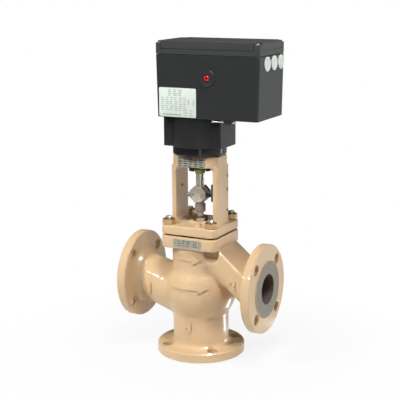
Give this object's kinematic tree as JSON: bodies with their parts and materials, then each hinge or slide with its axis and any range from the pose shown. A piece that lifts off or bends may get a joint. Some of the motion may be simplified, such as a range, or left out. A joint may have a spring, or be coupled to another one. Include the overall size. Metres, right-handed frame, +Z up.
{
  "type": "three-way control valve",
  "caption": "Cast three-way flanged control valve with an open yoke bonnet, a stem connector and a black electrohydraulic actuator with a manual override.",
  "frame": {"origin": "centre of the bottom port's mating face, on the stem axis", "axes": "+Z up the stem, +X towards the right-hand port, -Y towards the front with the override"},
  "size_m": [0.2601, 0.1524, 0.543],
  "materials": {
    "cast_paint": "gloss enamel over a grey iron casting",
    "stainless": "turned and polished",
    "nickel_steel": "nickel plated",
    "zinc_steel": "yellow passivated zinc plate",
    "dark_steel": "machined, oiled",
    "bronze": "plain bearing bronze",
    "black_alloy": "black painted die casting",
    "bare_alloy": "machined",
    "case_plastic": "fine moulded grain",
    "plug_plastic": "moulded white",
    "terminal_plastic": "moulded light grey",
    "ptfe": "waxy white fluoropolymer",
    "red_plastic": "moulded red",
    "green_rubber": "polyurethane wiper",
    "seal_rubber": "moulded nitrile",
    "graphite": "graphite sheet",
    "board": "green solder resist"
  },
  "bodies": {
    "valve": {"valve_body": "cast_paint", "upper_seat_ring": "stainless", "lower_seat_ring": "stainless", "body_gasket": "graphite", "bonnet_yoke": "cast_paint", "body_studs": "zinc_steel", "body_nuts": "zinc_steel", "guide_bush": "bronze", "packing_spring": "stainless", "packing_washer": "stainless", "packing_rings": "ptfe", "gland_nut": "dark_steel", "travel_scale": "case_plastic", "mounting_nut": "dark_steel", "rod_wiper": "green_rubber", "rod_guide_bush": "bronze", "end_cap": "black_alloy", "cylinder_housing": "black_alloy", "return_spring": "stainless", "pump_block": "bare_alloy", "pump_motor": "bare_alloy", "actuator_case": "case_plastic", "case_screws": "stainless", "circuit_board": "board", "terminal_strip": "terminal_plastic", "cover_seal": "seal_rubber", "cover": "case_plastic", "cover_screws": "stainless", "blind_plugs": "plug_plastic", "plug_seals": "seal_rubber", "override_bezel": "case_plastic", "key_clip": "case_plastic", "override_key": "stainless"},
    "stem_train": {"plug_stem": "stainless", "upper_plug": "stainless", "lower_plug": "stainless", "plug_spacer": "stainless", "plug_nut": "stainless", "lock_nut": "dark_steel", "connector_front": "nickel_steel", "connector_rear": "nickel_steel", "connector_screws": "dark_steel", "connector_stud": "nickel_steel", "travel_pointer": "case_plastic", "actuator_stem": "stainless", "piston": "bare_alloy", "piston_seal": "seal_rubber", "piston_nut": "dark_steel"},
    "override": {"override_socket": "red_plastic", "override_shaft": "stainless"}
  },
  "joints": [
    {"name": "stem_stroke", "type": "slide", "parent": "valve", "child": "stem_train", "axis": [0, 0, 1], "range_m": [-0.0075, 0.0075], "deforming": ["return_spring"]},
    {"name": "override_turn", "type": "hinge", "parent": "valve", "child": "override", "pos_m": [0.0397, -0.05, 0.485], "axis": [0, -1, 0], "range_deg": [-630, 630]}
  ],
  "couplings": [
    {"joint": "override_turn", "follows": "stem_stroke", "rad_per_m": 1256.6}
  ]
}
